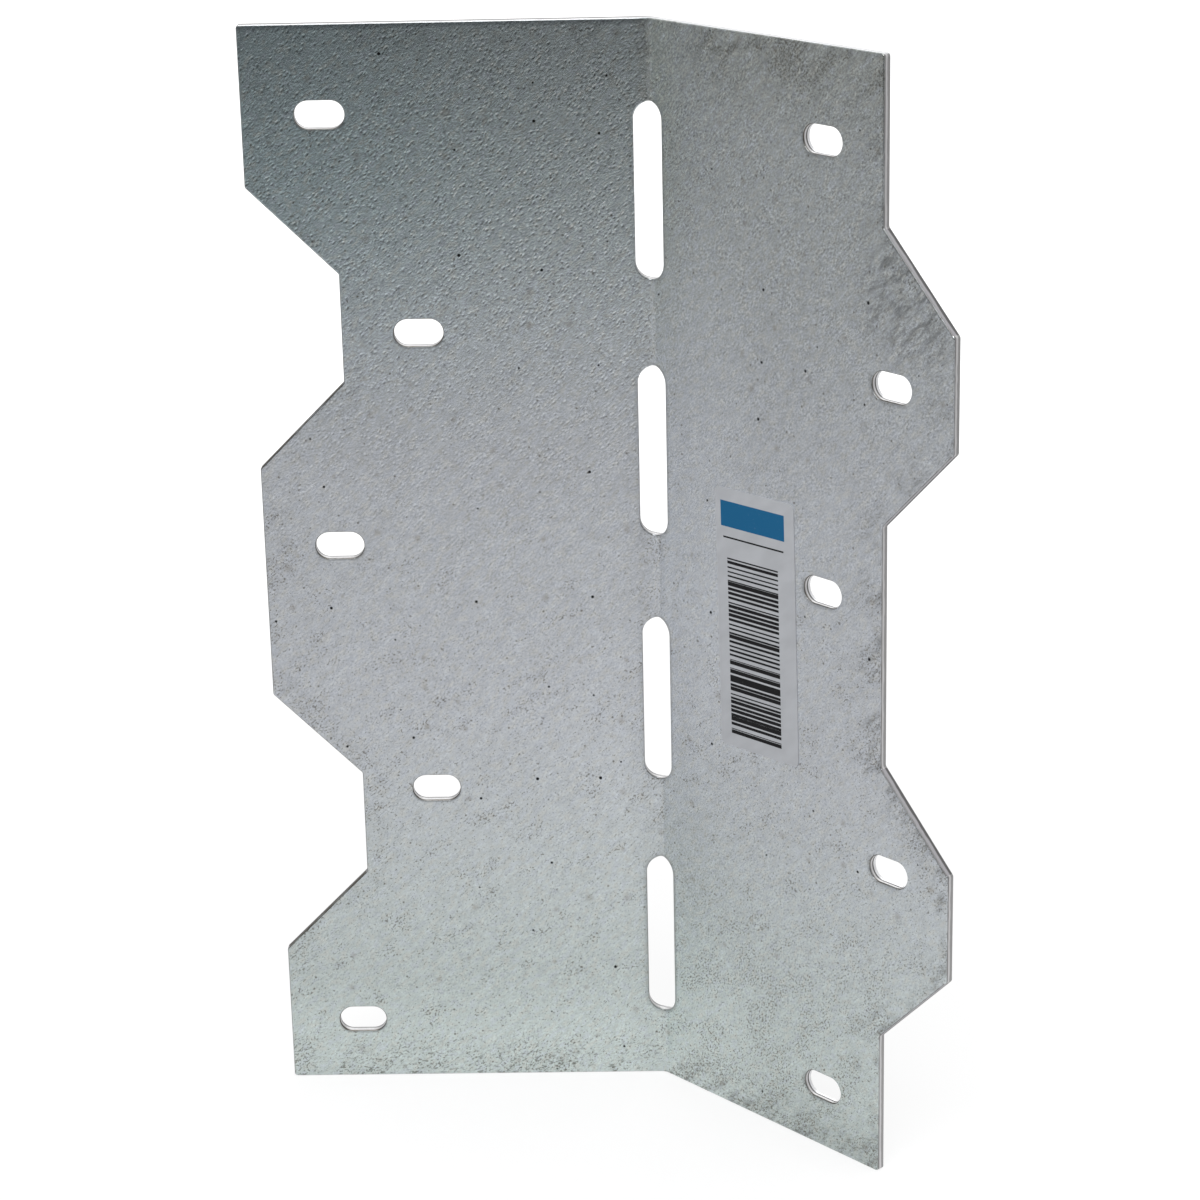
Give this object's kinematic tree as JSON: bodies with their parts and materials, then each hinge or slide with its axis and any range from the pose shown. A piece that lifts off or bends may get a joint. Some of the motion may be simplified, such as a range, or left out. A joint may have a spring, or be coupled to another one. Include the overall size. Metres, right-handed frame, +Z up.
{
  "type": "skewable angle",
  "caption": "Open-V framing angle of galvanised sheet with zigzag side edges, a slotted fold that is bent to suit a skewed joint, and elongated nail holes in its legs.",
  "frame": {"origin": "middle of the part's bounding box in X and Y, on the plane of its lower end", "axes": "+Z up along the fold; the left leg lies across X with its front face towards -Y and its bearing face towards +Y; the right leg turns towards -Y out of that plane"},
  "size_m": [0.0974, 0.0426, 0.1619],
  "materials": {
    "galvanised_steel": "hot-dip zinc, matt, with a fine orange-peel surface and grey speckles"
  },
  "bodies": {
    "root": {"angle": "galvanised_steel"}
  },
  "joints": []
}
